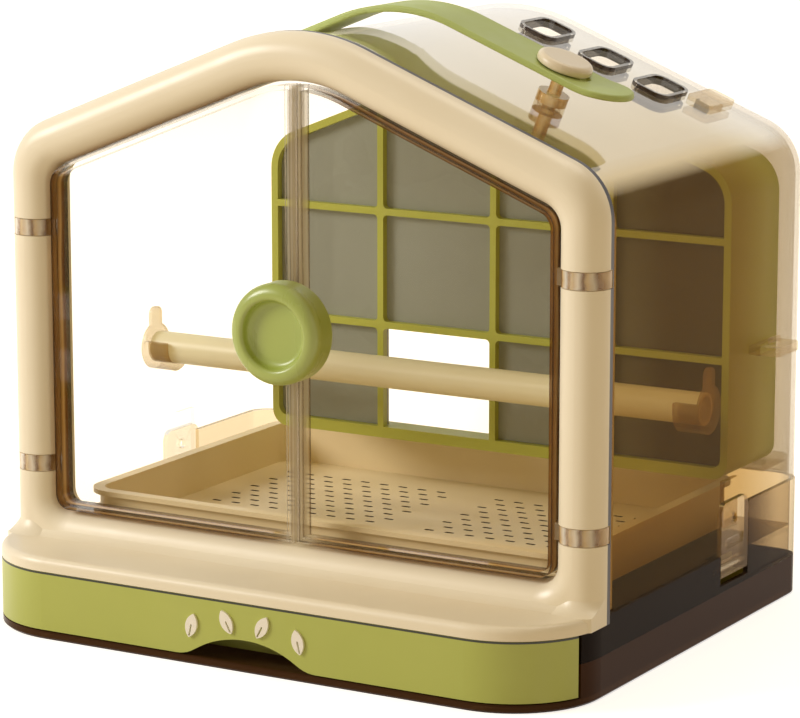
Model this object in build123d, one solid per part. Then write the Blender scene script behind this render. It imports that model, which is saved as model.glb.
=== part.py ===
from build123d import *
import math
import os

# Sizes are millimetres. X runs to the right, Y to the rear and Z up.
# While the pieces are drawn, Y 0 is the seam between the front frame and the clear shell,
# and Z 0 is the underside of the frame at that seam. They are moved to the middle of the
# resting face at the end.

# House outline, shared by the frame and the shell, whose roof lies a step lower
house_width = 340.0
eave_height = 211.65
roof_rise_per_run = 0.40
eave_radius = 30.0
apex_radius = 99.0
house_depth = 225.0
roof_step = 4.5
shell_wall = 2.6
rear_radius = 14.0

# Clearances
slip_gap = 0.3
running_gap = 0.05
seat_gap = 0.2

# Front frame, one moulding with the porch
rail_width = 24.3
rail_bulge = 16.15
rail_rounding = 11.9
sill_height = 16.7
opening_eave_radius = 12.0
opening_corner_radius = 9.0
plug_lip_depth = 7.5
plug_lip_bottom = 3.0
porch_depth = 57.0
porch_top = 4.7
porch_bottom = -2.2
porch_corner_radius = 48.0
porch_edge_radius = 3.6
cove_radius = 10.0
cove_bite = 0.3
cove_trim = 2.1

# Base tray and the clear skirt on it
base_depth = 37.5
base_floor = 2.6
base_wall = 2.6
base_wall_top = -16.5
base_corner_radius = 12.0
base_edge_chamfer = 1.2
drawer_underside = 32.5
runner_width = 8.0
runner_inset = 30.0
skirt_front = 24.5
skirt_top = 2.5
skirt_rear_top = 25.2
skirt_wall = 2.6
ledge_hold = 5.0
ledge_thickness = 3.0
ledge_front = 8.0

# Side latches, in the step of the shell's lower edge
latch_front = 124.4
latch_width = 33.0
latch_top = 29.7
latch_corner_radius = 6.0
latch_play = 0.6
latch_pivot_height = -6.0
latch_pivot_inset = 4.1
latch_knuckle_radius = 3.4
latch_pin_radius = 1.5
latch_tail = 3.0
latch_window_bottom = -13.0
latch_pocket_depth = 6.0
latch_grip_radius = 5.2
latch_grip_offset = 4.2
latch_grip_height = 8.0
latch_grip_margin = 6.0
ear_width = 4.0
ear_reach = 5.0
catch_height = 20.0
catch_radius = 2.2
catch_hole_gap = 0.5
catch_tab_width = 16.0
catch_tab_below = 6.0
catch_tab_above = 10.0

# Floor tray
tray_half_width = 139.0
tray_front = 12.0
tray_back = 203.0
tray_height = 25.0
tray_wall = 2.6
tray_floor = 3.0
tray_corner_radius = 12.0
tray_rim_reach = 3.5
tray_rim_thickness = 2.5
hole_length = 5.6
hole_width = 2.2
hole_pitch_x = 12.0
hole_pitch_y = 9.5
hole_columns = 9
hole_rows = 15
hole_field_offset = 66.0

# Drawer
drawer_top_gap = 0.3
drawer_wall = 2.4
drawer_front_wall = 3.0
drawer_half_width = 150.0
drawer_pan_front = -36.0
drawer_pan_back = 206.0
drawer_pan_top = -4.6
drawer_return_end = -26.0
drawer_pan_radius = 10.0
notch_half_width = 34.0
notch_rise = 11.6
notch_foot_radius = 20.0
motif_count = 4
motif_relief = 1.2
motif_length = 12.5
motif_width = 6.6
motif_vein = 0.9
motif_pitch = 20.5
motif_height = 8.6
motif_arc_radius = 95.0
motif_turn = 24.0
motif_fan = 0.35

# Doors, their clips and the knob
door_gap = 1.6
door_front = -12.0
door_back = -0.4
door_plate = 2.2
door_rim = 2.6
door_eave_radius = 11.0
door_corner_radius = 8.0
stile_gap = 1.6
clip_height = 8.3
clip_upper = 164.7
clip_lower = 41.7
clip_thickness = 2.8
clip_slot_gap = 0.35
clip_axis_y = -4.0
clip_arm_thickness = 5.0
clip_mouth = ((0, 0), (30, 36), (-30, 36), (-40, 6.5))
knob_height = 126.0
knob_radius = 25.3
knob_back = -13.2
knob_depth = 18.0
knob_rounding = 5.8
knob_lip_rounding = 2.2
knob_dish_radius = 17.0
knob_dish_depth = 6.0
knob_dish_rounding = 3.6
knob_recess_radius = 10.5
knob_recess_depth = 4.2
boss_radius = 9.0
boss_depth = 3.4
spindle_radius = 3.0
spindle_reach = 10.0
spindle_back = 5.2
stile_notch_radius = 4.4
cam_length = 34.0
cam_width = 5.6
cam_hub_radius = 4.0
cam_thickness = 3.0
cam_front = 1.8
screw_radius = 1.5
screw_length = 7.0
screw_head_radius = 3.6
screw_head_height = 2.0
screw_cross = 3.4
screw_cross_width = 0.8

# Perch and its cradles
perch_y = 114.0
perch_height = 80.5
perch_radius = 8.35
perch_bore = 6.4
perch_chamfer = 0.4
perch_end_gap = 0.5
cradle_radius = 12.6
cradle_length = 13.0
cradle_plate = 2.0
cradle_horn = 4.0
cradle_tab_width = 10.0
cradle_tab_height = 9.0

# Window box at the rear
window_half_width = 136.7
window_side_gap = 4.1
window_eave = 194.0
window_bottom = 37.1
window_front = 144.3
window_depth = 58.0
window_wall = 4.0
window_sill = 6.0
window_sill_depth = 14.0
window_eave_radius = 22.0
window_apex_radius = 60.0
window_corner_radius = 9.0
bar_width = 3.6
bar_depth = 4.0
bar_pitch = 68.4
bar_heights = (98.9, 160.2)
cell_radius = 2.4
pane_thickness = 2.0
bracket_width = 14.0
bracket_shelf = 3.4
bracket_height = 9.5
bracket_reach = 34.0

# Clips that tie the window box to the shell
side_clip_height = 101.3
side_clip_thickness = 4.6
side_clip_front = 168.0
side_clip_length = 27.0
side_clip_reach = 10.0
side_clip_stop = 2.8
side_clip_stop_width = 10.0
side_clip_stop_height = 3.2
roof_clip_inset = 36.3
roof_clip_y = 194.0
roof_clip_stem_length = 15.0
roof_clip_stem_width = 9.0
roof_clip_cap_length = 30.0
roof_clip_cap_width = 15.3
roof_clip_cap = 2.4
clip_corner_radius = 3.0

# Vent slots in the roof
vent_x = (42.5, 76.5, 108.0)
vent_y = 173.0
vent_length = 18.0
vent_depth = 29.0
vent_radius = 5.0
vent_collar = 2.0
vent_collar_height = 2.2

# Strap handle
strap_y = 70.0
strap_width = 34.0
strap_thickness = 3.4
strap_lift = 17.0
strap_left_gap = 0.4
strap_crown_radius = 86.0
strap_edge_radius = 1.2
strap_bend_x = 118.0
strap_bend_radius = 60.0
strap_bend_angle = 9.0
strap_tail = 16.0
stud_x = 99.0
stud_radius = 3.5
stud_flange_radius = 8.0
stud_flange = 5.2
slot_width = 8.4
slot_travel = 19.0
slot_room = 3.0
slot_margin = 17.5
button_radius = 14.2
button_thickness = 5.0
button_thickness_left = 2.4
button_gap = 0.5
nut_radius = 7.0
nut_thickness = 4.0

roof_angle = math.degrees(math.atan(roof_rise_per_run))
half_width = house_width / 2
shell_eave = eave_height - roof_step
window_centre = half_width - shell_wall - window_side_gap - window_half_width
roof_clip_x = window_centre + window_half_width - roof_clip_inset
left_strap_end = -stud_x - slot_width / 2 - slot_room - slot_margin
drawer_top = porch_bottom - drawer_top_gap


def inset_eave(inset, eave):
    """Eave height of an outline moved inwards by the same amount all round."""
    return eave + inset * roof_rise_per_run - inset * math.hypot(1, roof_rise_per_run)


def roof_height(x, half, eave):
    return eave + (half - abs(x)) * roof_rise_per_run


def house_outline(half, eave, bottom, eave_round, apex_round, foot_round=0.0):
    """House-shaped outline, with its round eaves, apex and feet."""
    apex = roof_height(0, half, eave)
    outline = Polygon(
        (-half, bottom), (half, bottom), (half, eave), (0, apex), (-half, eave), align=None
    )
    corners = outline.vertices()
    eaves = [v for v in corners if abs(v.Y - eave) < 0.01]
    outline = fillet(eaves, eave_round)
    outline = fillet(outline.vertices().sort_by_distance(Vector(0, apex, 0))[:1], apex_round)
    if foot_round > 0:
        feet = [v for v in outline.vertices() if abs(v.Y - bottom) < 0.01]
        outline = fillet(feet, foot_round)
    return outline


def slab(outline, front, back):
    """An outline drawn in X and Z, as a solid between two places along Y."""
    return extrude(Pos(0, back, 0) * (Plane.XZ * outline), amount=back - front)


def plate(outline, bottom, top):
    """An outline drawn in X and Y, as a solid between two heights."""
    return extrude(Pos(0, 0, bottom) * outline, amount=top - bottom)


def block(x_range, y_range, z_range):
    sizes = [high - low for low, high in (x_range, y_range, z_range)]
    middle = [(high + low) / 2 for low, high in (x_range, y_range, z_range)]
    return Pos(*middle) * Box(*sizes)


def rod_along_x(start, end, y, z, radius):
    outline = Plane.YZ * Pos(y, z) * Circle(radius)
    return extrude(Pos(start, 0, 0) * outline, amount=end - start)


def rod_along_y(x, z, radius, front, back):
    return slab(Pos(x, z) * Circle(radius), front, back)


def mirrored(solid):
    return mirror(solid, about=Plane.YZ)


def plan_outline(inset):
    """Plan of the base, porch and drawer front, moved inwards by the inset."""
    half = half_width - inset
    front = -porch_depth + inset
    back = house_depth - inset
    plan = Polygon((-half, front), (half, front), (half, back), (-half, back), align=None)
    fronts = [v for v in plan.vertices() if abs(v.Y - front) < 0.01]
    plan = fillet(fronts, porch_corner_radius - inset)
    backs = [v for v in plan.vertices() if abs(v.Y - back) < 0.01]
    return fillet(backs, base_corner_radius - inset)


def opening_outline(inset=0.0):
    """The door opening of the frame, moved inwards by the inset."""
    whole = rail_width + inset
    return house_outline(
        half_width - whole,
        inset_eave(whole, eave_height),
        sill_height + inset,
        opening_eave_radius,
        apex_radius - whole,
        opening_corner_radius,
    )


def clip_channels(radius, height_gap):
    """Discs round both hinge axes, at both clip heights."""
    discs = []
    for side in (-1, 1):
        for height in (clip_lower, clip_upper):
            place = Pos(side * post_x, clip_axis_y, height)
            discs.append(place * Cylinder(radius, clip_height + 2 * height_gap))
    return discs


post_x = half_width - rail_width / 2
clip_radius = rail_width / 2
clip_bore = clip_radius - clip_thickness


def make_front_frame():
    outer = house_outline(half_width, eave_height, porch_bottom, eave_radius, apex_radius)
    ring = slab(outer, -rail_bulge, 0) - slab(opening_outline(), -rail_bulge, 0)
    front_face = ring.faces().sort_by(Axis.Y)[0]
    rounded = [e for e in front_face.edges() if e.center().Z > porch_bottom + 1]
    ring = fillet(rounded, rail_rounding)

    porch = plate(plan_outline(0), porch_bottom, porch_top)
    porch = porch & block((-half_width, half_width), (-porch_depth, 0), (porch_bottom, porch_top))
    top_edges = [
        e for e in porch.edges()
        if e.center().Z > porch_top - 0.01 and e.center().Y < -1
    ]
    porch = fillet(top_edges, porch_edge_radius)

    # Coves that run the posts and the sill into the porch
    centre_z = porch_top + cove_radius - cove_bite
    reach = rail_rounding + cove_radius - cove_bite
    bottom_up = (Align.CENTER, Align.CENTER, Align.MIN)
    collar = Pos(0, 0, porch_bottom) * Cylinder(reach - cove_trim, centre_z - porch_bottom, align=bottom_up)
    collar -= Pos(0, 0, centre_z) * Torus(reach, cove_radius)
    inside = block((-half_width, half_width), (-porch_depth, 0), (porch_bottom, eave_height))
    coves = [(Pos(side * post_x, clip_axis_y, 0) * collar) & inside for side in (-1, 1)]
    sill_centre_z = sill_height - rail_rounding
    rise = centre_z - sill_centre_z
    run = math.sqrt(reach ** 2 - rise ** 2)
    cove_y = clip_axis_y - run
    touch_z = sill_centre_z + rise * rail_rounding / reach
    cove = block((-post_x, post_x), (cove_y + cove_trim, clip_axis_y), (porch_bottom, touch_z))
    cove -= rod_along_x(-post_x - 1, post_x + 1, cove_y, centre_z, cove_radius)

    # Lip that plugs into the mouth of the shell
    inset = shell_wall + seat_gap
    lip_outline = house_outline(
        half_width - inset,
        inset_eave(inset, shell_eave),
        plug_lip_bottom,
        eave_radius - inset,
        apex_radius - inset,
    )
    lip = slab(lip_outline, -1, plug_lip_depth) - slab(opening_outline(), -2, plug_lip_depth + 1)

    frame = ring + porch + lip + cove
    for collar_part in coves:
        frame += collar_part
    for disc in clip_channels(clip_radius + clip_slot_gap, clip_slot_gap):
        frame -= disc
    for disc in clip_channels(clip_bore - running_gap, clip_slot_gap + 0.5):
        frame += disc
    return frame


def roof_plane(x, y):
    """A plane on the outer face of the roof, its local Z square to the slope."""
    side = 1 if x > 0 else -1
    origin = (x, y, roof_height(x, half_width, shell_eave))
    normal = Vector(side * math.sin(math.radians(roof_angle)), 0, math.cos(math.radians(roof_angle)))
    return Plane(origin=origin, x_dir=(normal.Z, 0, -normal.X), z_dir=normal)


def shell_hollow():
    """The room inside the shell, open in front and below."""
    bottom = skirt_top - latch_top
    inner = house_outline(
        half_width - shell_wall,
        inset_eave(shell_wall, shell_eave),
        bottom,
        eave_radius - shell_wall,
        apex_radius - shell_wall,
    )
    hollow = slab(inner, -shell_wall, house_depth - shell_wall)
    back_face = hollow.faces().sort_by(Axis.Y)[-1]
    upper_edges = [e for e in back_face.edges() if e.center().Z > bottom + 1]
    return fillet(upper_edges, rear_radius - shell_wall)


def make_body_shell():
    outer = house_outline(half_width, shell_eave, skirt_top, eave_radius, apex_radius)
    shell = slab(outer, 0, house_depth)
    back_face = shell.faces().sort_by(Axis.Y)[-1]
    shell = fillet([e for e in back_face.edges() if e.center().Z > skirt_top + 1], rear_radius)
    shell -= shell_hollow()

    # Raised lower edge behind, with the taller step for the side latches
    wide = half_width + 1
    shell -= block((-wide, wide), (latch_front, house_depth + 1), (0, skirt_rear_top))
    step = Rectangle(latch_width, latch_top - skirt_top + 10)
    step = fillet(step.vertices().sort_by(Axis.Y)[-2:], latch_corner_radius)
    step = Plane.YZ * Pos(latch_front + latch_width / 2, latch_top - (latch_top - skirt_top + 10) / 2) * step
    shell -= extrude(Pos(-wide, 0, 0) * step, amount=2 * wide)

    # Tongues with the pegs that the side latches snap over
    inner_face = half_width - shell_wall
    middle = latch_front + latch_width / 2
    tab = block(
        (inner_face - shell_wall, inner_face),
        (middle - catch_tab_width / 2, middle + catch_tab_width / 2),
        (catch_height - catch_tab_below, latch_top + catch_tab_above),
    )
    tab += rod_along_x(inner_face - 1, half_width - seat_gap * 3, middle, catch_height, catch_radius)
    shell += tab
    shell += mirrored(tab)

    for x in vent_x:
        place = roof_plane(x, vent_y)
        collar = RectangleRounded(vent_length + 2 * vent_collar, vent_depth + 2 * vent_collar,
                                  vent_radius + vent_collar)
        shell += extrude(place * Pos(0, 0, -shell_wall / 2) * collar,
                         amount=vent_collar_height + shell_wall / 2)
        mouth = RectangleRounded(vent_length, vent_depth, vent_radius)
        shell -= extrude(place * Pos(0, 0, -8) * mouth, amount=20)

    for side in (-1, 1):
        shell -= roof_plane(side * stud_x, strap_y) * Cylinder(stud_radius + running_gap, 12)
    shell -= roof_clip_stem(seat_gap)
    shell -= side_clip_plate(seat_gap)
    for disc in clip_channels(clip_radius + clip_slot_gap, clip_slot_gap):
        shell -= disc
    return shell


def make_base_housing():
    outer = plate(plan_outline(0), -base_depth, base_wall_top)
    bottom_edges = outer.faces().sort_by(Axis.Z)[0].edges()
    outer = chamfer(bottom_edges, base_edge_chamfer)
    inner = plan_outline(base_wall)
    outer -= plate(inner, -base_depth + base_floor, base_wall_top + 1)
    front_rim_top = -drawer_underside - slip_gap * 2
    wide = half_width + 1
    outer -= block((-wide, wide), (-porch_depth - 1, -skirt_front), (front_rim_top, base_wall_top + 1))
    runner_top = -drawer_underside - slip_gap
    for side in (-1, 1):
        x = side * (half_width - runner_inset)
        outer += block(
            (x - runner_width / 2, x + runner_width / 2),
            (-skirt_front, drawer_pan_back - 4),
            (-base_depth + base_floor - 0.5, runner_top),
        )
    return outer


def make_base_skirt():
    outer = plan_outline(0)
    inner = plan_outline(skirt_wall)
    wall = plate(outer, base_wall_top, skirt_rear_top) - plate(inner, base_wall_top - 1, skirt_rear_top + 1)
    wide = half_width + 1
    back_of_latch = latch_front + latch_width
    wall -= block((-wide, wide), (-porch_depth - 1, -skirt_front), (base_wall_top - 1, skirt_rear_top + 1))
    wall -= block((-wide, wide), (-porch_depth - 1, back_of_latch), (skirt_top, skirt_rear_top + 1))
    wall -= block((-wide, wide), (-porch_depth - 1, 0), (porch_bottom, skirt_rear_top + 1))

    inner_face = half_width - skirt_wall
    flange = block(
        (tray_half_width - ledge_hold, inner_face),
        (ledge_front, house_depth - skirt_wall * 3),
        (-ledge_thickness, 0),
    )
    pivot_x = half_width - latch_pivot_inset
    ear_z = (latch_pivot_height - ear_reach, latch_pivot_height + ear_reach)
    ears = []
    for y in (latch_front - ear_width, back_of_latch):
        ears.append(block((pivot_x - ear_reach, inner_face), (y, y + ear_width), ear_z))
    pin_hole = rod_along_y(
        pivot_x, latch_pivot_height, latch_pin_radius, latch_front - 2 * ear_width, back_of_latch + 2 * ear_width
    )
    window = block(
        (pivot_x - latch_pocket_depth, wide),
        (latch_front, back_of_latch),
        (latch_window_bottom, skirt_rear_top + 1),
    )
    side = flange + ears[0] + ears[1]
    for part in (side, mirrored(side)):
        wall += part
    for part in (window, pin_hole):
        wall -= part
        wall -= mirrored(part)
    return wall


def make_side_latch():
    """The latch of the right-hand side."""
    front = latch_front + latch_play
    back = latch_front + latch_width - latch_play
    pivot_x = half_width - latch_pivot_inset
    bottom = latch_pivot_height - latch_tail
    top = latch_top - latch_play
    face = Rectangle(back - front, top - bottom)
    face = fillet(face.vertices().sort_by(Axis.Y)[-2:], latch_corner_radius - latch_play)
    face = Plane.YZ * Pos((front + back) / 2, (top + bottom) / 2) * face
    latch = extrude(Pos(half_width - shell_wall, 0, 0) * face, amount=shell_wall)
    latch += rod_along_y(pivot_x, latch_pivot_height, latch_knuckle_radius, front, back)
    hole = rod_along_y(pivot_x, latch_pivot_height, latch_pin_radius + running_gap, front - 1, back + 1)
    latch -= hole
    middle = (front + back) / 2
    latch -= rod_along_x(pivot_x, half_width + 1, middle, catch_height, catch_radius + catch_hole_gap)
    grip = rod_along_y(
        half_width + latch_grip_offset, latch_grip_height, latch_grip_radius,
        front + latch_grip_margin, back - latch_grip_margin,
    )
    return latch - grip


def make_latch_pin():
    pivot_x = half_width - latch_pivot_inset
    return rod_along_y(
        pivot_x, latch_pivot_height, latch_pin_radius,
        latch_front - ear_width, latch_front + latch_width + ear_width,
    )


def tray_plan(inset):
    half = tray_half_width - inset
    plan = Rectangle(2 * half, tray_back - tray_front - 2 * inset)
    plan = fillet(plan.vertices(), tray_corner_radius - inset)
    return Pos(0, (tray_front + tray_back) / 2) * plan


def make_floor_tray():
    tray = plate(tray_plan(0), 0, tray_height)
    tray += plate(tray_plan(-tray_rim_reach), tray_height - tray_rim_thickness, tray_height)
    tray -= plate(tray_plan(tray_wall), tray_floor, tray_height + 1)
    hole = SlotOverall(hole_length, hole_width)
    middle_y = (tray_front + tray_back) / 2
    holes = Sketch()
    for side in (-1, 1):
        for row in range(hole_rows):
            stagger = hole_pitch_x / 2 if row % 2 else 0.0
            y = middle_y + (row - (hole_rows - 1) / 2) * hole_pitch_y
            x = side * hole_field_offset + stagger - hole_pitch_x / 4
            holes += Pos(x, y) * GridLocations(hole_pitch_x, 1, hole_columns, 1) * hole
    tray -= extrude(Pos(0, 0, -1) * holes, amount=tray_floor + 2)
    return tray


def make_drawer():
    front_plan = plan_outline(0)
    front_zone = block(
        (-half_width, half_width), (-porch_depth, drawer_return_end), (-drawer_underside, drawer_top)
    )
    hood = plate(front_plan, -drawer_underside, drawer_top) & front_zone
    inner = plan_outline(drawer_front_wall)
    hood -= plate(inner, -drawer_underside - 1, drawer_top - drawer_front_wall)
    hood -= block(
        (-drawer_half_width + drawer_wall, drawer_half_width - drawer_wall),
        (drawer_pan_front + drawer_wall, 0),
        (-drawer_underside - 1, drawer_top + 1),
    )
    arch_radius = (notch_half_width ** 2 + notch_rise ** 2) / (2 * notch_rise)
    arch = Pos(0, -drawer_underside + notch_rise - arch_radius) * Circle(arch_radius)
    arch &= Pos(0, -drawer_underside + notch_rise) * Rectangle(2 * half_width, 2 * notch_rise)
    arch += Pos(0, -drawer_underside - notch_rise / 2) * Rectangle(4 * notch_half_width, notch_rise)
    feet = [
        v for v in arch.vertices()
        if abs(v.Y + drawer_underside) < 0.01 and abs(v.X) < notch_half_width + 1
    ]
    arch = fillet(feet, notch_foot_radius)
    hood -= slab(arch, -porch_depth - 1, -porch_depth + drawer_front_wall + 1)

    def pan_plan(inset):
        length = drawer_pan_back - drawer_pan_front - 2 * inset
        plan = Rectangle(2 * (drawer_half_width - inset), length)
        rear = fillet(plan.vertices().sort_by(Axis.Y)[-2:], drawer_pan_radius - inset)
        return Pos(0, (drawer_pan_back + drawer_pan_front) / 2) * rear

    pan = plate(pan_plan(0), -drawer_underside, drawer_pan_top)
    front_strip = block(
        (-drawer_half_width, drawer_half_width),
        (drawer_pan_front, drawer_pan_front + drawer_wall),
        (drawer_pan_top - 1, drawer_top - drawer_front_wall / 2),
    )
    pan += front_strip
    pan -= plate(pan_plan(drawer_wall), -drawer_underside + drawer_wall, drawer_top)
    return hood + pan


def make_drawer_motifs():
    """Raised leaves in an arc over the finger notch."""
    radius = (motif_length ** 2 + motif_width ** 2) / (4 * motif_width)
    offset = radius - motif_width / 2
    leaf = (Pos(offset, 0) * Circle(radius)) & (Pos(-offset, 0) * Circle(radius))
    leaf -= Pos(0, -motif_length / 5) * SlotOverall(motif_length / 2, motif_vein, rotation=90)
    leaves = []
    for index in range(motif_count):
        x = (index - (motif_count - 1) / 2) * motif_pitch
        z = -drawer_underside + notch_rise + motif_height - x ** 2 / (2 * motif_arc_radius)
        turn = motif_turn if index % 2 else -motif_turn
        outline = Pos(x, z) * Rot(0, 0, turn - x * motif_fan) * leaf
        leaves.append(slab(outline, -porch_depth - motif_relief, -porch_depth))
    return Compound(children=leaves)


def door_outline(inset):
    """Left-hand door, between the frame's opening and the middle."""
    whole = rail_width + door_gap + inset
    outline = house_outline(
        half_width - whole,
        inset_eave(whole, eave_height),
        sill_height + door_gap + inset,
        door_eave_radius - inset,
        apex_radius - whole,
        door_corner_radius - inset,
    )
    middle = -stile_gap / 2 - inset
    height = 2 * eave_height
    keep = Pos(middle - half_width / 2, eave_height / 2) * Rectangle(half_width, height)
    return outline & keep


def make_door(side):
    door = slab(door_outline(0), door_front, door_back)
    door -= slab(door_outline(door_rim), door_front + door_plate, door_back + 1)
    if side > 0:
        door = mirrored(door)
    notch = rod_along_y(0, knob_height, stile_notch_radius, door_front - 1, door_back + 1)
    door -= notch
    if side < 0:
        boss_back = door_front - slip_gap
        boss = rod_along_y(0, knob_height, boss_radius, boss_back - boss_depth, boss_back)
        left_half = Pos(-boss_radius - stile_gap / 2) * Rectangle(2 * boss_radius, 2 * boss_radius)
        foot = (Circle(boss_radius) & left_half) - Circle(stile_notch_radius)
        foot = slab(Pos(0, knob_height) * foot, boss_back - 0.1, door_front + 0.1)
        door += boss
        door += foot
        door -= rod_along_y(0, knob_height, spindle_radius + running_gap, boss_back - boss_depth - 1, boss_back)
    return door


def make_hinge_clip(side, height):
    """Open ring round the journal of a post, with the arm that holds the door."""
    ring = Cylinder(clip_radius, clip_height) - Cylinder(clip_bore, clip_height + 1)
    ring -= extrude(Pos(0, 0, -clip_height) * Polygon(*clip_mouth, align=None), amount=2 * clip_height)
    door_edge = rail_width / 2 + door_gap
    arm = Pos((clip_bore + 1 + door_edge) / 2, -clip_arm_thickness / 2 + 1, 0) * Box(
        door_edge - clip_bore - 1, clip_arm_thickness, clip_height
    )
    clip = ring + arm
    if side > 0:
        clip = mirrored(clip)
    return Pos(side * post_x, clip_axis_y, height) * clip


def make_knob():
    """Turned knob: fat rim, shallow dish in front and a recess over the boss behind."""
    front = knob_back - knob_depth
    dish_floor = front + knob_dish_depth
    recess_floor = knob_back - knob_recess_depth
    profile = Polygon(
        (0, dish_floor),
        (knob_dish_radius, dish_floor),
        (knob_dish_radius, front),
        (knob_radius, front),
        (knob_radius, knob_back),
        (knob_recess_radius, knob_back),
        (knob_recess_radius, recess_floor),
        (0, recess_floor),
        align=None,
    )

    def corner(x, y):
        return profile.vertices().sort_by_distance(Vector(x, y, 0))[:1]

    profile = fillet(corner(knob_dish_radius, dish_floor), knob_dish_rounding)
    profile = fillet(corner(knob_dish_radius, front), knob_lip_rounding)
    profile = fillet(corner(knob_radius, front), knob_rounding)
    profile = fillet(corner(knob_radius, knob_back), knob_rounding / 2)
    body = Pos(0, 0, knob_height) * revolve(profile, Axis.Y)
    return body - rod_along_y(0, knob_height, spindle_radius, knob_back - spindle_reach, knob_back)


def make_knob_spindle():
    front = knob_back - spindle_reach
    spindle = rod_along_y(0, knob_height, spindle_radius, front, spindle_back - slip_gap)
    return spindle - rod_along_y(0, knob_height, screw_radius, spindle_back - screw_length - 1, spindle_back)


def make_latch_cam():
    back = cam_front + cam_thickness
    bar = Pos(0, knob_height) * SlotOverall(cam_length, cam_width, rotation=90)
    bar += Pos(0, knob_height) * Circle(cam_hub_radius)
    cam = slab(bar, cam_front, back)
    return cam - rod_along_y(0, knob_height, spindle_radius, cam_front - 1, back + 1)


def make_cam_screw():
    head_back = spindle_back + screw_head_height
    head = rod_along_y(0, knob_height, screw_head_radius, spindle_back - slip_gap, head_back)
    head = fillet(head.faces().sort_by(Axis.Y)[-1].edges(), screw_head_height / 2)
    cross = Rectangle(screw_cross, screw_cross_width) + Rectangle(screw_cross_width, screw_cross)
    head -= slab(Pos(0, knob_height) * cross, head_back - screw_head_height / 2, head_back + 1)
    return head + rod_along_y(0, knob_height, screw_radius, spindle_back - screw_length, spindle_back)


def make_perch_rod():
    end = half_width - shell_wall - cradle_plate - perch_end_gap
    rod = rod_along_x(-end, end, perch_y, perch_height, perch_radius)
    rod -= rod_along_x(-end - 1, end + 1, perch_y, perch_height, perch_bore)
    return chamfer(rod.edges().filter_by(GeomType.CIRCLE), perch_chamfer)


def make_perch_cradle():
    """The open-topped cradle on the right-hand wall."""
    wall_face = half_width - shell_wall
    plate_face = wall_face - cradle_plate
    bore = perch_radius + slip_gap
    ring = Circle(cradle_radius) + Pos(0, cradle_horn / 2) * Rectangle(2 * cradle_radius, cradle_horn)
    ring &= Pos(0, -cradle_radius + cradle_horn) * Rectangle(2 * cradle_radius, 2 * cradle_radius)
    channel = Circle(bore) + Pos(0, cradle_radius) * Rectangle(2 * bore, 2 * cradle_radius)
    back = Circle(cradle_radius)
    tab_height = cradle_radius + cradle_tab_height
    tab = Pos(0, tab_height / 2) * Rectangle(cradle_tab_width, tab_height)
    tab = fillet(tab.vertices().sort_by(Axis.Y)[-2:], cradle_tab_width * 0.4)
    place = Plane.YZ * Pos(perch_y, perch_height)
    cup = extrude(Pos(plate_face - cradle_length, 0, 0) * place * (ring - channel), amount=cradle_length)
    rear = extrude(Pos(plate_face, 0, 0) * place * (back + tab), amount=cradle_plate)
    return cup + rear


def window_outline(inset, bottom_extra=0.0):
    outline = house_outline(
        window_half_width - inset,
        inset_eave(inset, window_eave),
        window_bottom + bottom_extra,
        window_eave_radius - inset,
        window_apex_radius - inset,
        max(window_corner_radius - inset, 1.0),
    )
    return Pos(window_centre, 0) * outline


def make_window_box():
    window_back = window_front + window_depth
    inner = window_outline(window_wall, window_sill)
    box = slab(window_outline(0), window_front, window_back) - slab(inner, window_front - 1, window_back + 1)
    low = block(
        (window_centre - window_half_width + window_corner_radius * 1.2,
         window_centre + window_half_width - window_corner_radius * 1.2),
        (window_front + window_sill_depth, window_back + 1),
        (window_bottom - 1, window_bottom + window_sill + 1),
    )
    box -= low
    bars = Sketch()
    for index in (-1, 0, 1):
        bars += Pos(window_centre + index * bar_pitch, eave_height / 2) * Rectangle(bar_width, eave_height * 2)
    for height in bar_heights:
        bars += Pos(window_centre, height) * Rectangle(2 * window_half_width, bar_width)
    bars &= inner
    grid = slab(bars, window_front, window_front + bar_depth)
    inner_corners = [
        e for e in grid.edges().filter_by(Axis.Y)
        if abs(abs(e.center().X - window_centre) % bar_pitch - bar_width / 2) < 0.01
        or abs(abs(e.center().X - window_centre) % bar_pitch - bar_pitch + bar_width / 2) < 0.01
    ]
    crossings = [
        e for e in inner_corners
        if min(abs(e.center().Z - height) for height in bar_heights) < bar_width
    ]
    grid = fillet(crossings, cell_radius)
    box += grid
    return box


def make_window_pane():
    front = window_front + bar_depth
    pane = slab(window_outline(window_wall + seat_gap, window_sill + seat_gap), front, front + pane_thickness)
    left = window_centre - bar_pitch + bar_width / 2
    right = window_centre - bar_width / 2
    top = bar_heights[0] - bar_width / 2
    return pane - block((left, right), (front - 1, front + 5), (window_bottom, top))


def make_window_brackets():
    """Two shelves on the rear wall, under the side walls of the window box."""
    wall_face = house_depth - shell_wall
    top = window_bottom - slip_gap
    brackets = []
    for side in (-1, 1):
        x = window_centre + side * (window_half_width - bracket_width / 2)
        span = (x - bracket_width / 2, x + bracket_width / 2)
        shelf = block(span, (wall_face - bracket_reach, wall_face), (top - bracket_shelf, top))
        back = block(span, (wall_face - bracket_shelf, wall_face), (top - bracket_height, top))
        brackets.append((shelf + back) & shell_hollow())
    return Compound(children=brackets)


def side_clip_plate(gap):
    """Flat tab through the right-hand wall, grown by the gap all round."""
    start = window_centre + window_half_width
    return block(
        (start, half_width + side_clip_reach),
        (side_clip_front - gap, side_clip_front + side_clip_length + gap),
        (side_clip_height - side_clip_thickness / 2 - gap, side_clip_height + side_clip_thickness / 2 + gap),
    )


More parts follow.
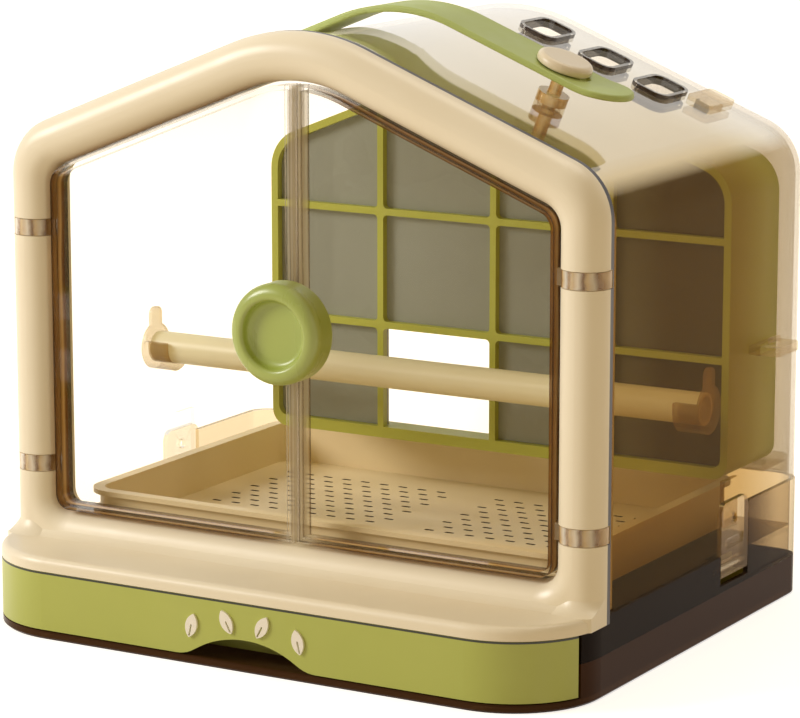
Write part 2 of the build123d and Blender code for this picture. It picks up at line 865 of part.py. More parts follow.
def make_side_clip():
    clip = side_clip_plate(0)
    outer = [e for e in clip.edges().filter_by(Axis.Z) if e.center().X > half_width]
    clip = fillet(outer, clip_corner_radius)
    middle = side_clip_front + side_clip_length / 2
    top = side_clip_height + side_clip_thickness / 2
    stop = block(
        (half_width + seat_gap, half_width + seat_gap + side_clip_stop),
        (middle - side_clip_stop_width / 2, middle + side_clip_stop_width / 2),
        (side_clip_height, top + side_clip_stop_height),
    )
    return clip + stop


def roof_clip_stem(gap):
    """Flat tab from the window box up through the roof, grown by the gap all round."""
    below = roof_height(roof_clip_x - window_centre, window_half_width, window_eave)
    above = roof_height(roof_clip_x, half_width, shell_eave)
    drop = (above - below) * math.cos(math.radians(roof_angle))
    length = drop + roof_clip_cap
    stem = Box(roof_clip_stem_width + 2 * gap, roof_clip_stem_length + 2 * gap, length)
    return roof_plane(roof_clip_x, roof_clip_y) * Pos(0, 0, roof_clip_cap - length / 2) * stem


def make_roof_clip():
    cap = Box(roof_clip_cap_width, roof_clip_cap_length, roof_clip_cap)
    cap = fillet(cap.edges().filter_by(Axis.Z), clip_corner_radius)
    cap = roof_plane(roof_clip_x, roof_clip_y) * Pos(0, 0, roof_clip_cap / 2) * cap
    return cap + roof_clip_stem(0)


def strap_rise(side):
    """Height of the strap's middle over the roof, square to the slope, on one side."""
    return strap_lift if side > 0 else strap_left_gap + strap_thickness / 2


def strap_path():
    """Middle line of the strap: flat on the left slope, then a hump, then the raised right half."""
    angle = math.radians(roof_angle)
    left_rise = strap_rise(-1) / math.cos(angle)
    right_rise = strap_rise(1) / math.cos(angle)
    ridge = roof_height(0, half_width, shell_eave)
    crown_x = (right_rise - left_rise) / (2 * roof_rise_per_run)
    meeting = ridge + left_rise + crown_x * roof_rise_per_run
    crown_top = meeting - strap_crown_radius * (1 / math.cos(angle) - 1)
    crown_run = strap_crown_radius * math.sin(angle)
    foot = crown_top - strap_crown_radius * (1 - math.cos(angle))

    left_end = (left_strap_end, ridge + left_rise + left_strap_end * roof_rise_per_run)
    bend_start = (strap_bend_x, ridge + right_rise - strap_bend_x * roof_rise_per_run)
    flat = math.radians(roof_angle - strap_bend_angle)

    def bend_point(slope):
        return (
            strap_bend_x + strap_bend_radius * (math.sin(angle) - math.sin(slope)),
            bend_start[1] - strap_bend_radius * (math.cos(slope) - math.cos(angle)),
        )

    bend_end = bend_point(flat)
    tail_end = (bend_end[0] + strap_tail * math.cos(flat), bend_end[1] - strap_tail * math.sin(flat))
    crown_start = (crown_x - crown_run, foot)
    crown_end = (crown_x + crown_run, foot)
    return [
        Line(left_end, crown_start),
        ThreePointArc(crown_start, (crown_x, crown_top), crown_end),
        Line(crown_end, bend_start),
        ThreePointArc(bend_start, bend_point((angle + flat) / 2), bend_end),
        Line(bend_end, tail_end),
    ]


def make_handle_strap():
    path = strap_path()
    right_end = (path[-1] @ 1).X
    band = trace(Curve() + path, strap_thickness)
    strap = slab(band, strap_y - strap_width / 2, strap_y + strap_width / 2)
    middle = (left_strap_end + right_end) / 2
    tall = 2 * eave_height
    strap &= plate(Pos(middle, strap_y) * SlotOverall(right_end - left_strap_end, strap_width), 0, tall)
    slot_length = slot_travel + slot_width
    for side in (-1, 1):
        start = side * stud_x - slot_width / 2 - slot_room
        slot = Pos(start + slot_length / 2, strap_y) * SlotOverall(slot_length, slot_width)
        strap -= plate(slot, 0, tall)
    return fillet(strap.edges(), strap_edge_radius)


def button_size(side):
    """Foot of a button over the roof, and its thickness; the left one is low."""
    base = strap_rise(side) + strap_thickness / 2 + button_gap
    return base, button_thickness if side > 0 else button_thickness_left


def make_handle_stud(side):
    """Clear stud through the roof, with a flange where it stands free on the right."""
    base, thickness = button_size(side)
    top = base + thickness / 2
    bottom = -shell_wall - nut_thickness
    stem = Pos(0, 0, (top + bottom) / 2) * Cylinder(stud_radius, top - bottom)
    if side > 0:
        stem += Pos(0, 0, stud_flange / 2) * Cylinder(stud_flange_radius, stud_flange)
    return roof_plane(side * stud_x, strap_y) * stem


def make_handle_button(side):
    base, thickness = button_size(side)
    cap = Cylinder(button_radius, thickness, align=(Align.CENTER, Align.CENTER, Align.MIN))
    cap = fillet(cap.faces().sort_by(Axis.Z)[-1].edges(), thickness * 0.55)
    cap = fillet(cap.faces().sort_by(Axis.Z)[0].edges(), thickness * 0.25)
    cap -= Pos(0, 0, -1) * Cylinder(
        stud_radius, 1 + thickness / 2, align=(Align.CENTER, Align.CENTER, Align.MIN)
    )
    return roof_plane(side * stud_x, strap_y) * Pos(0, 0, base) * cap


def make_handle_nut(side):
    nut = extrude(RegularPolygon(nut_radius, 6), amount=nut_thickness)
    nut -= Cylinder(stud_radius, 3 * nut_thickness)
    return roof_plane(side * stud_x, strap_y) * Pos(0, 0, -shell_wall - nut_thickness) * nut


parts = {
    "front_frame": make_front_frame(),
    "body_shell": make_body_shell(),
    "base_housing": make_base_housing(),
    "base_skirt": make_base_skirt(),
    "floor_tray": make_floor_tray(),
    "drawer": make_drawer(),
    "drawer_motifs": make_drawer_motifs(),
    "left_door": make_door(-1),
    "right_door": make_door(1),
    "knob": make_knob(),
    "knob_spindle": make_knob_spindle(),
    "latch_cam": make_latch_cam(),
    "cam_screw": make_cam_screw(),
    "perch_rod": make_perch_rod(),
    "window_box": make_window_box(),
    "window_pane": make_window_pane(),
    "window_brackets": make_window_brackets(),
    "window_side_clip": make_side_clip(),
    "window_roof_clip": make_roof_clip(),
    "handle_strap": make_handle_strap(),
}
for side, name in ((-1, "left"), (1, "right")):
    parts[name + "_hinge_clip_upper"] = make_hinge_clip(side, clip_upper)
    parts[name + "_hinge_clip_lower"] = make_hinge_clip(side, clip_lower)
    parts["handle_stud_" + name] = make_handle_stud(side)
    parts["handle_button_" + name] = make_handle_button(side)
    parts["handle_nut_" + name] = make_handle_nut(side)
right_pieces = {
    "side_latch": make_side_latch(),
    "latch_pin": make_latch_pin(),
    "perch_cradle": make_perch_cradle(),
}
for name, solid in right_pieces.items():
    parts[name + "_right"] = solid
    parts[name + "_left"] = mirrored(solid)

# The origin is on the resting face, half way between the porch's front and the rear wall
to_reference = Pos(0, (porch_depth - house_depth) / 2, base_depth)

os.makedirs("parts", exist_ok=True)
for name, solid in parts.items():
    export_step(to_reference * solid, "parts/" + name + ".step")
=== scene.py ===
import math
import bpy
import numpy as np
from mathutils import Matrix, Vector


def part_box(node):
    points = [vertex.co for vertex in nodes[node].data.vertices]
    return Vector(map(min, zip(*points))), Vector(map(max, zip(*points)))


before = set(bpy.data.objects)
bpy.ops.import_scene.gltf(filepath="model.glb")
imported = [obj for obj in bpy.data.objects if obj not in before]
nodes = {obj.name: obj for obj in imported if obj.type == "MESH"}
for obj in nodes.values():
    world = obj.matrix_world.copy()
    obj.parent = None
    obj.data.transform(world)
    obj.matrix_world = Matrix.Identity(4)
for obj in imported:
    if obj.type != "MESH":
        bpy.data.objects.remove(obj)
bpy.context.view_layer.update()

print("frame loaded:", len(nodes), "nodes")


# Shader nodes

def addNode(tree, kind, values=None, links=None, **settings):
    # one shader node, with its settings, its plain values and what is linked into it
    node = tree.nodes.new("ShaderNode" + kind)
    for key, value in settings.items():
        setattr(node, key, value)
    for socket, value in (values or {}).items():
        node.inputs[socket].default_value = value
    for socket, source in (links or {}).items():
        tree.links.new(source, node.inputs[socket])
    return node


def objectCoords(tree):
    return addNode(tree, "TexCoord").outputs


def rescale(tree, value, fromRange, toRange):
    values = {"From Min": fromRange[0], "From Max": fromRange[1], "To Min": toRange[0], "To Max": toRange[1]}
    return addNode(tree, "MapRange", values, {"Value": value}).outputs[0]


def combine(tree, operation, first, second):
    # each side is a number or a value socket
    node = addNode(tree, "Math", operation=operation)
    for socket, value in ((0, first), (1, second)):
        if isinstance(value, (int, float)):
            node.inputs[socket].default_value = value
        else:
            tree.links.new(value, node.inputs[socket])
    return node.outputs[0]


def multiply(tree, first, second):
    return combine(tree, "MULTIPLY", first, second)


def larger(tree, first, second):
    return combine(tree, "MAXIMUM", first, second)


def magnitude(tree, value):
    return combine(tree, "ABSOLUTE", value, 0)


# Camera and room

cameraSettings = {
    "place": (0.89196, -1.5237, 0.48573),
    "turn": 30.19,          # degrees round the cage, from the front
    "drop": 11.32,          # degrees that it looks down
    "lens": 157.22,
}


def makeCamera(settings):
    # columns: right, up, and the way back from the view
    turn = math.radians(settings["turn"])
    drop = math.radians(settings["drop"])
    right = (math.cos(turn), math.sin(turn), 0)
    up = (-math.sin(turn) * math.sin(drop), math.cos(turn) * math.sin(drop), math.cos(drop))
    back = (math.sin(turn) * math.cos(drop), -math.cos(turn) * math.cos(drop), math.sin(drop))
    data = bpy.data.cameras.new("camera")
    data.lens = settings["lens"]
    data.sensor_width = 36
    data.clip_end = 60
    camera = bpy.data.objects.new("camera", data)
    camera.matrix_world = Matrix((
        (right[0], up[0], back[0], settings["place"][0]),
        (right[1], up[1], back[1], settings["place"][1]),
        (right[2], up[2], back[2], settings["place"][2]),
        (0, 0, 0, 1),
    ))
    bpy.context.scene.collection.objects.link(camera)
    bpy.context.scene.camera = camera


makeCamera(cameraSettings)
bpy.context.scene.view_settings.view_transform = "Standard"

lightSettings = {
    "key": {"from": (-2.0, -1.5, 1.35), "size": 1.2, "power": 50, "colour": (1.0, 0.98, 0.95)},
    "fill": {"from": (2.1, -0.9, 0.8), "size": 1.2, "power": 2, "colour": (1.0, 0.78, 0.42)},
    "top": {"from": (0.3, 0.6, 2.2), "size": 1.5, "power": 16, "colour": (1.0, 0.95, 0.88)},
    "room": {"colour": (1.0, 0.74, 0.38), "strength": 0.35},
}


def makeLamp(name, settings):
    data = bpy.data.lights.new(name, "AREA")
    data.shape = "DISK"
    data.size = settings["size"]
    data.energy = settings["power"]
    data.color = settings["colour"]
    lamp = bpy.data.objects.new(name, data)
    place = np.array(settings["from"])
    target = np.array((0.0, 0.0, 0.15))
    back = (place - target) / np.linalg.norm(place - target)
    right = np.cross((0, 0, 1), back)
    right /= np.linalg.norm(right)
    up = np.cross(back, right)
    matrix = np.eye(4)
    matrix[:3, 0], matrix[:3, 1], matrix[:3, 2], matrix[:3, 3] = right, up, back, place
    lamp.matrix_world = Matrix(matrix.tolist())
    bpy.context.scene.collection.objects.link(lamp)


for lampName in ("key", "fill", "top"):
    makeLamp(lampName, lightSettings[lampName])


def seenRay(tree):
    # 1 for what the camera sees, straight on, mirrored or through a clear wall
    path = addNode(tree, "LightPath").outputs
    straight = larger(tree, path["Is Camera Ray"], path["Is Glossy Ray"])
    return larger(tree, straight, path["Is Transmission Ray"])


def makeRoom(settings):
    world = bpy.data.worlds.new("room")
    world.use_nodes = True
    tree = world.node_tree
    tree.nodes.clear()
    soft = addNode(tree, "Background", {"Color": (*settings["colour"], 1), "Strength": settings["strength"]})
    white = addNode(tree, "Background", {"Color": (1, 1, 1, 1)})
    both = addNode(tree, "MixShader", links={0: seenRay(tree), 1: soft.outputs[0], 2: white.outputs[0]})
    addNode(tree, "OutputWorld", links={0: both.outputs[0]})
    bpy.context.scene.world = world


makeRoom(lightSettings["room"])

floorSettings = {
    "half": 12.0,
    "colour": (0.82, 0.76, 0.66),
    "radii": (0.2, 0.6),
    "glow": (0.72, 1.0),    # at the near and the far radius
}


def makeFloor(settings):
    # a pale floor whose own glow rises to white away from the cage
    half = settings["half"]
    mesh = bpy.data.meshes.new("floor")
    corners = [(-half, -half, 0), (half, -half, 0), (half, half, 0), (-half, half, 0)]
    mesh.from_pydata(corners, [], [(0, 1, 2, 3)])
    floor = bpy.data.objects.new("floor", mesh)
    bpy.context.scene.collection.objects.link(floor)
    material = bpy.data.materials.new("paleFloor")
    material.use_nodes = True
    tree = material.node_tree
    tree.nodes.clear()
    paint = addNode(tree, "BsdfDiffuse", {"Color": (*settings["colour"], 1)})
    away = addNode(tree, "VectorMath", links={0: objectCoords(tree)["Object"]}, operation="LENGTH")
    glow = rescale(tree, away.outputs["Value"], settings["radii"], settings["glow"])
    lit = addNode(tree, "Emission", links={"Strength": multiply(tree, glow, seenRay(tree))})
    both = addNode(tree, "AddShader", links={0: paint.outputs[0], 1: lit.outputs[0]})
    addNode(tree, "OutputMaterial", links={0: both.outputs[0]})
    mesh.materials.append(material)


makeFloor(floorSettings)
print("camera, lamps, room and floor made")


# Finishes

plasticIndex = 1.49
noiseSpan = (0.3, 0.7)    # where most of a noise's values lie
grainSettings = {
    "fineScale": 1400,
    "fineDepth": 0.0002,
    "fineStrength": 0.06,
    "rubScale": 60,
    "rubStretch": (1, 1, 0.15),
    "rubSpread": (-0.05, 0.07),
}


def fromScreen(red, green, blue):
    # a colour read on a screen, 0 to 255, as the linear one that a shader wants
    values = np.array((red, green, blue)) / 255
    low = values / 12.92
    high = ((values + 0.055) / 1.055) ** 2.4
    return tuple(float(v) for v in np.where(values <= 0.04045, low, high))


def newMaterial(name):
    material = bpy.data.materials.new(name)
    material.use_nodes = True
    return material, material.node_tree, material.node_tree.nodes["Principled BSDF"]


def splitPlace(tree):
    # X, Y and Z of the place on the piece, in metres
    return addNode(tree, "SeparateXYZ", links={0: objectCoords(tree)["Object"]}).outputs


def splitNormal(tree):
    return addNode(tree, "SeparateXYZ", links={0: objectCoords(tree)["Normal"]}).outputs


def cloudNoise(tree, scale, detail=3, stretch=(1, 1, 1)):
    placed = addNode(tree, "Mapping", {"Scale": stretch}, {"Vector": objectCoords(tree)["Object"]})
    noise = addNode(tree, "TexNoise", {"Scale": scale, "Detail": detail}, {"Vector": placed.outputs[0]})
    return noise.outputs["Fac"]


def blendColours(tree, factor, first, second):
    # each colour is a triple read on a screen, or a colour socket
    node = addNode(tree, "Mix", links={0: factor}, data_type="RGBA")
    for socket, colour in ((6, first), (7, second)):
        if isinstance(colour, tuple):
            node.inputs[socket].default_value = (*fromScreen(*colour), 1)
        else:
            tree.links.new(colour, node.inputs[socket])
    return node.outputs[2]


def colourStops(tree, value, paintedLightStops):
    # a run of colours, each with its place from 0 to 1
    ramp = addNode(tree, "ValToRGB", links={0: value})
    marks = ramp.color_ramp.elements
    while len(marks) < len(paintedLightStops):
        marks.new(0.5)
    for mark, (place, colour) in zip(marks, paintedLightStops):
        mark.position = place
        mark.color = (*fromScreen(*colour), 1)
    return ramp.outputs["Color"]


def surfaceGrain(tree, shader, grain, rough):
    # fine bump of the mould's surface, with uneven polish and faint rub marks
    fine = cloudNoise(tree, grainSettings["fineScale"], 2)
    values = {"Strength": grainSettings["fineStrength"] * grain, "Distance": grainSettings["fineDepth"]}
    bump = addNode(tree, "Bump", values, {"Height": fine})
    tree.links.new(bump.outputs[0], shader.inputs["Normal"])
    rubbed = cloudNoise(tree, grainSettings["rubScale"], 4, grainSettings["rubStretch"])
    span = [rough + step for step in grainSettings["rubSpread"]]
    tree.links.new(rescale(tree, rubbed, noiseSpan, span), shader.inputs["Roughness"])


def polished(tree, shader, rough, shine):
    # smooth plastic, a little uneven
    fine = cloudNoise(tree, 26)
    tree.links.new(rescale(tree, fine, noiseSpan, (rough * 0.7, rough * 1.3)), shader.inputs["Roughness"])
    shader.inputs["IOR"].default_value = plasticIndex
    shader.inputs["Specular IOR Level"].default_value = shine


def within(tree, value, low, high, soft=0.0003):
    # 1 between two places on an axis, 0 outside them
    rise = rescale(tree, value, (low - soft, low), (0, 1))
    fall = rescale(tree, value, (high, high + soft), (1, 0))
    return multiply(tree, rise, fall)


def paintedShadeBand(tree, colour, band):
    # a stretch of the surface takes the band's colour, as painted shade, on faces that don't look along
    # keepOff
    place = splitPlace(tree)
    share = within(tree, place[band["axis"]], *band["span"])
    if "alsoAxis" in band:
        share = multiply(tree, share, within(tree, place[band["alsoAxis"]], *band["alsoSpan"]))
    looksAlong = magnitude(tree, splitNormal(tree)[band["keepOff"]])
    share = multiply(tree, share, rescale(tree, looksAlong, (0.5, 0.8), (1, 0)))
    return blendColours(tree, share, colour, band["colour"])


def mouldedPlastic(name, light, dark, rough, grain=1.0, coat=0.0, band=None):
    # moulded plastic: slow drift between two close colours, fine grain, uneven polish, and a band of painted
    # shade where one is given
    material, tree, shader = newMaterial(name)
    colour = blendColours(tree, rescale(tree, cloudNoise(tree, 9), noiseSpan, (0, 1)), light, dark)
    if band:
        colour = paintedShadeBand(tree, colour, band)
    tree.links.new(colour, shader.inputs["Base Color"])
    surfaceGrain(tree, shader, grain, rough)
    shader.inputs["IOR"].default_value = plasticIndex
    shader.inputs["Coat Weight"].default_value = coat
    shader.inputs["Coat Roughness"].default_value = 0.12
    return material


def turnedSteel(name, colour):
    material = mouldedPlastic(name, colour, tuple(0.9 * v for v in colour), rough=0.28, grain=0.4)
    material.node_tree.nodes["Principled BSDF"].inputs["Metallic"].default_value = 1
    return material


def faceWeight(tree, faceOn, edgeOn, power):
    # how much of the surface shows: little where it is looked at square on, more near its edges
    facing = addNode(tree, "LayerWeight", {"Blend": 0.5}).outputs["Facing"]
    return rescale(tree, combine(tree, "POWER", facing, power), (0, 1), (faceOn, edgeOn))


def seeThrough(tree, shader, tint, cover):
    # the shader over a tinted clear body, as much of it as cover says
    body = addNode(tree, "BsdfTransparent")
    if isinstance(tint, tuple):
        body.inputs["Color"].default_value = (*fromScreen(*tint), 1)
    else:
        tree.links.new(tint, body.inputs["Color"])
    both = addNode(tree, "MixShader", links={0: cover, 1: body.outputs[0], 2: shader.outputs[0]})
    tree.links.new(both.outputs[0], tree.nodes["Material Output"].inputs["Surface"])


def sideMask(tree):
    # 1 on faces that turn away from the front and the rear
    return rescale(tree, magnitude(tree, splitNormal(tree)["Y"]), (0.5, 0.25), (0, 1))


def glossOver(tree, strength):
    # a clear gloss over the upward faces, which mirrors what stands on them
    output = tree.nodes["Material Output"].inputs["Surface"]
    upward = rescale(tree, splitNormal(tree)["Z"], (0.5, 0.85), (0, strength))
    share = multiply(tree, upward, addNode(tree, "Fresnel", {"IOR": 1.5}).outputs[0])
    gloss = addNode(tree, "BsdfAnisotropic", {"Color": (0.98, 0.95, 0.9, 1), "Roughness": 0.06})
    links = {0: share, 1: output.links[0].from_socket, 2: gloss.outputs[0]}
    tree.links.new(addNode(tree, "MixShader", links=links).outputs[0], output)


def ventWalls(tree, settings):
    # 1 on the walls of the vent slots, which stand square to the roof's slope
    place = splitPlace(tree)
    normal = objectCoords(tree)["Normal"]
    roofNormal = (math.sin(settings["slope"]), 0, math.cos(settings["slope"]))
    along = addNode(tree, "VectorMath", {1: roofNormal}, {0: normal}, operation="DOT_PRODUCT")
    square = rescale(tree, magnitude(tree, along.outputs["Value"]), (0.3, 0.5), (1, 0))
    alongY = within(tree, place["Y"], *settings["zoneY"])
    alongX = within(tree, place["X"], *settings["zoneX"])
    high = rescale(tree, place["Z"], settings["rise"], (0, 1))
    return multiply(tree, square, multiply(tree, multiply(tree, alongY, alongX), high))


def tintedPlastic(name, settings):
    # clear plastic with a pale tint of its own, which deepens along X towards the shaded right side and
    # fades back towards the rear: the deepening is painted shade
    material, tree, shader = newMaterial(name)
    place = splitPlace(tree)
    across = rescale(tree, place["X"], settings["across"], (0, 1))
    behind = rescale(tree, place["Y"], settings["fade"], (1, settings["rearShare"]))
    # painted shade: the tint runs from pale to deep towards +X and the front
    tint = blendColours(tree, multiply(tree, across, behind), settings["pale"], settings["deep"])
    darker = tuple(0.94 * v for v in settings["veil"])
    veil = blendColours(tree, cloudNoise(tree, 5), settings["veil"], darker)
    cover = faceWeight(tree, *settings["cover"])
    if "veilShadeRight" in settings:
        # painted shade: the veil darkens to a brown towards the right, shaded side
        right = rescale(tree, place["X"], settings["veilShadeRight"]["across"], (0, 1))
        veil = blendColours(tree, right, veil, settings["veilShadeRight"]["colour"])
    if "haze" in settings:
        haze = settings["haze"]
        rear = rescale(tree, place["Y"], haze["alongY"], (0, haze["share"]))
        cover = larger(tree, cover, multiply(tree, rear, rescale(tree, place["X"], haze["alongX"], (0, 1))))
    if "vents" in settings:
        # painted shade: the vent slots' walls take a dark brown and nearly full cover
        ventShade = ventWalls(tree, settings["vents"])
        veil = blendColours(tree, ventShade, veil, settings["vents"]["colour"])
        cover = larger(tree, cover, multiply(tree, ventShade, settings["vents"]["cover"]))
    tree.links.new(veil, shader.inputs["Base Color"])
    polished(tree, shader, settings["rough"], settings["shine"])
    seeThrough(tree, shader, tint, cover)
    if "gloss" in settings:
        glossOver(tree, settings["gloss"])
    return material


def rimmedPlastic(name, settings):
    # clear door plastic: the plate is nearly invisible, its rims show as lines, in painted highlights and
    # painted shade: bright and dark bands by depth
    material, tree, shader = newMaterial(name)
    place = splitPlace(tree)
    depth = rescale(tree, place["Y"], settings["depth"], (0, 1))
    wavy = combine(tree, "ADD", depth, rescale(tree, cloudNoise(tree, 14, 2), (0, 1), (-0.12, 0.12)))
    away = magnitude(tree, place["X"])
    outer = rescale(tree, away, (0.006, 0.012), (0, 1))
    # painted highlights and painted shade along the stiles and rims
    stile = colourStops(tree, wavy, settings["stilePaintedLightStops"])
    rim = colourStops(tree, wavy, settings["paintedLightStops"])
    tree.links.new(blendColours(tree, outer, stile, rim), shader.inputs["Base Color"])
    polished(tree, shader, settings["rough"], settings["shine"])
    share = rescale(tree, away, (0.006, 0.03), (settings["middleShare"], 1))
    rimCover = multiply(tree, multiply(tree, sideMask(tree), share), settings["rimCover"])
    line = multiply(tree, within(tree, away, *settings["stileLine"]), settings["lineCover"])
    cover = larger(tree, larger(tree, rimCover, faceWeight(tree, *settings["cover"])), line)
    seeThrough(tree, shader, settings["tint"], cover)
    return material


def paintedLightStripedPlastic(name, settings):
    # small thick clear piece: painted highlights and painted shade, as the bright and dark stripes that a
    # round one shows, set in its colour by its normal
    material, tree, shader = newMaterial(name)
    turn = rescale(tree, splitNormal(tree)["X"], (-1, 1), (0, 1))
    wavy = combine(tree, "ADD", turn, rescale(tree, cloudNoise(tree, 120, 2), (0, 1), (-0.07, 0.07)))
    tree.links.new(colourStops(tree, wavy, settings["paintedLightStops"]), shader.inputs["Base Color"])
    polished(tree, shader, 0.08, 0.6)
    seeThrough(tree, shader, settings["tint"], faceWeight(tree, *settings["cover"]))
    return material


# Tints are screen colours, places are metres, and cover is its share face on and edge on, with a power

# pale is each piece's own tint; the deep end, towards the shaded right side and the front, is painted shade
shellFinish = {
    "pale": (254, 253, 251), "deep": (232, 219, 190), "veil": (238, 226, 202),
    "across": (-0.02, 0.15), "fade": (0.06, 0.125), "rearShare": 0.2,
    "rough": 0.06, "shine": 0.5, "cover": (0.01, 0.42, 4.5), "gloss": 1.2,
    "haze": {"alongY": (0.112, 0.132), "alongX": (-0.05, 0.14), "share": 0.4},
    # painted shade in the vent slots: their walls are dark brown
    "vents": {
        "slope": math.radians(21.8), "zoneY": (0.072, 0.107), "zoneX": (0.02, 0.13), "rise": (0.245, 0.247),
        "colour": (48, 30, 18), "cover": 0.9,
    },
}
skirtFinish = {
    "pale": (247, 238, 220), "deep": (124, 98, 62), "veil": (92, 68, 40),
    "across": (-0.1, 0.16), "fade": (0.06, 0.11), "rearShare": 0.08,
    "rough": 0.07, "shine": 0.45, "cover": (0.08, 0.6, 3.0),
}
baseFinish = {
    "pale": (112, 80, 50), "deep": (96, 66, 40), "veil": (76, 48, 24),
    "across": (-0.17, 0.17), "fade": (0.08, 0.13), "rearShare": 0.6,
    "rough": 0.2, "shine": 0.05, "cover": (0.72, 0.95, 2.0),
}
paneFinish = {
    "pale": (172, 174, 164), "deep": (112, 102, 76), "veil": (184, 188, 178),
    # painted shade on the panes' right side
    "veilShadeRight": {"across": (0.075, 0.125), "colour": (112, 94, 56)},
    "across": (-0.02, 0.13), "fade": (0.05, 0.1), "rearShare": 1.0,
    "rough": 0.3, "shine": 0.3, "cover": (0.7, 0.95, 2.0),
}
doorFinish = {
    "tint": (253, 252, 249), "rough": 0.08, "shine": 0.5, "cover": (0.006, 0.3, 6.0),
    "depth": (-0.0965, -0.084), "rimCover": 0.88, "middleShare": 0.6,
    "stileLine": (0.0030, 0.0034), "lineCover": 0.5,
    # painted highlights and painted shade along the door rims
    "paintedLightStops": (
        (0.0, (44, 26, 14)), (0.12, (96, 60, 30)), (0.3, (190, 146, 88)), (0.42, (228, 190, 130)),
        (0.55, (140, 92, 46)), (0.8, (66, 38, 18)), (1.0, (30, 18, 10)),
    ),
    "stilePaintedLightStops": (
        (0.0, (70, 44, 22)), (0.09, (226, 214, 190)), (0.3, (255, 252, 246)), (0.44, (122, 92, 58)),
        (0.5, (250, 244, 232)), (0.78, (255, 252, 246)), (0.9, (150, 116, 74)), (1.0, (60, 38, 18)),
    ),
}
# painted highlights and painted shade: bright and dark stripes in the clear pieces' colour, by their normal
clipFinish = {
    "tint": (254, 251, 244), "cover": (0.5, 0.95, 1.5),
    "paintedLightStops": (
        (0.0, (250, 240, 220)), (0.1, (120, 84, 50)), (0.18, (232, 200, 146)), (0.28, (255, 250, 238)),
        (0.38, (140, 104, 66)), (0.45, (236, 208, 158)), (0.56, (255, 250, 238)), (0.66, (130, 92, 56)),
        (0.74, (240, 214, 166)), (0.84, (255, 248, 232)), (0.92, (150, 112, 70)), (1.0, (230, 200, 150)),
    ),
}
cradleFinish = {
    "tint": (252, 245, 228), "cover": (0.2, 0.95, 2.0),
    "paintedLightStops": (
        (0.0, (206, 174, 116)), (0.16, (92, 60, 28)), (0.26, (250, 238, 212)), (0.4, (222, 192, 138)),
        (0.55, (120, 84, 42)), (0.66, (248, 234, 204)), (0.82, (110, 74, 36)), (1.0, (214, 182, 124)),
    ),
}
tabFinish = {
    "tint": (252, 247, 236), "cover": (0.08, 0.75, 2.6),
    "paintedLightStops": (
        (0.0, (226, 206, 168)), (0.35, (244, 234, 212)), (0.6, (236, 220, 190)), (1.0, (196, 164, 116)),
    ),
}
studFinish = {
    "tint": (247, 229, 190), "cover": (0.55, 0.95, 1.5),
    "paintedLightStops": (
        (0.0, (250, 232, 190)), (0.25, (170, 124, 64)), (0.45, (232, 192, 124)), (0.7, (255, 240, 204)),
        (0.85, (178, 132, 72)), (1.0, (216, 176, 110)),
    ),
}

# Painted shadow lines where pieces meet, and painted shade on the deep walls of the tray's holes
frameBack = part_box("body_shell")[0][1]
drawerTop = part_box("drawer")[1][2]
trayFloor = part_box("floor_tray")[0][2]
# painted shadow: a dark brown line on the frame's last 3 mm, where it meets the shell
seamShadowLine = {"axis": "Y", "span": (frameBack - 0.003, frameBack), "keepOff": "Y", "colour": (40, 24, 14)}
# painted shadow: a dark line along the drawer's top, under the porch
drawerGapShadow = {
    "axis": "Z", "span": (drawerTop - 0.0008, drawerTop + 0.001), "keepOff": "Z",
    "colour": (30, 30, 14),
}
# painted shade: the walls of the tray's holes take a dark brown
holeWallShade = {
    "axis": "Z", "span": (trayFloor + 0.0002, trayFloor + 0.0028), "keepOff": "Z",
    "alsoAxis": "X", "alsoSpan": (-0.133, 0.133), "colour": (52, 34, 14),
}

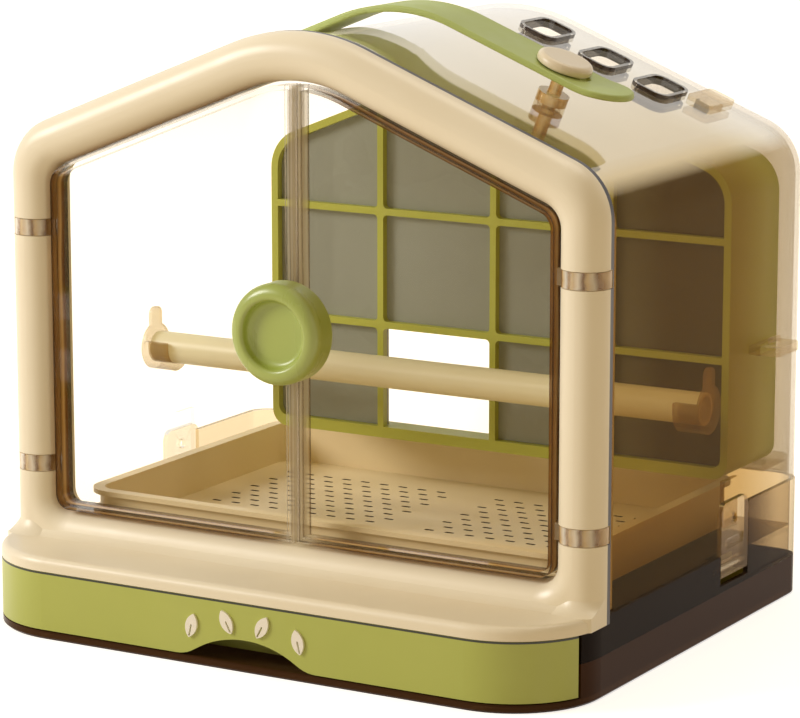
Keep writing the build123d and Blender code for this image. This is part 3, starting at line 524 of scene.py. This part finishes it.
finishes = {
    "cream": mouldedPlastic("creamPlastic", (241, 232, 210), (236, 225, 200), 0.34, band=seamShadowLine),
    "creamTray": mouldedPlastic("creamTrayPlastic", (246, 230, 194), (240, 221, 182), 0.42, band=holeWallShade),
    "perch": mouldedPlastic("perchPlastic", (242, 236, 204), (236, 228, 192), 0.36),
    "green": mouldedPlastic("leafGreenPlastic", (180, 187, 92), (171, 178, 84), 0.36, band=drawerGapShadow),
    "boxGreen": mouldedPlastic("boxGreenPlastic", (190, 194, 84), (180, 184, 76), 0.42),
    "knobGreen": mouldedPlastic("knobGreenPlastic", (170, 184, 92), (158, 172, 80), 0.3, coat=0.15),
    "strap": mouldedPlastic("strapRubber", (176, 190, 112), (164, 178, 98), 0.5, grain=1.6),
    "motif": mouldedPlastic("offWhitePlastic", (244, 240, 230), (238, 232, 220), 0.35),
    "button": mouldedPlastic("buttonPlastic", (232, 220, 194), (222, 209, 182), 0.3),
    "spindle": mouldedPlastic("spindlePlastic", (232, 226, 210), (222, 214, 196), 0.35),
    "steel": turnedSteel("turnedSteel", (200, 200, 202)),
    "shell": tintedPlastic("shellPlastic", shellFinish),
    "skirt": tintedPlastic("skirtPlastic", skirtFinish),
    "base": tintedPlastic("amberPlastic", baseFinish),
    "pane": tintedPlastic("smokePlastic", paneFinish),
    "door": rimmedPlastic("doorPlastic", doorFinish),
    "clip": paintedLightStripedPlastic("clipPlastic", clipFinish),
    "cradle": paintedLightStripedPlastic("cradlePlastic", cradleFinish),
    "tab": paintedLightStripedPlastic("tabPlastic", tabFinish),
    "stud": paintedLightStripedPlastic("studPlastic", studFinish),
}

nodeFinish = {
    "front_frame": "cream", "floor_tray": "creamTray", "perch_rod": "perch",
    "body_shell": "shell", "base_housing": "base", "base_skirt": "skirt",
    "drawer": "green", "drawer_motifs": "motif", "left_door": "door", "right_door": "door",
    "knob": "knobGreen", "knob_spindle": "spindle", "latch_cam": "clip", "cam_screw": "steel",
    "window_box": "boxGreen", "window_pane": "pane", "window_brackets": "tab",
    "window_side_clip": "tab", "window_roof_clip": "tab", "handle_strap": "strap",
    "perch_cradle_left": "cradle", "perch_cradle_right": "cradle",
    "handle_stud_left": "stud", "handle_stud_right": "stud",
    "handle_button_left": "button", "handle_button_right": "button",
    "handle_nut_left": "tab", "handle_nut_right": "tab",
    "side_latch_left": "tab", "side_latch_right": "tab",
    "latch_pin_left": "steel", "latch_pin_right": "steel",
    "left_hinge_clip_upper": "clip", "left_hinge_clip_lower": "clip",
    "right_hinge_clip_upper": "clip", "right_hinge_clip_lower": "clip",
}
for nodeName, finishName in nodeFinish.items():
    node = nodes[nodeName]
    if not node.material_slots:
        node.data.materials.append(finishes[finishName])
    for materialSlot in node.material_slots:
        materialSlot.material = finishes[finishName]
print("finishes given to", len(nodeFinish), "nodes")
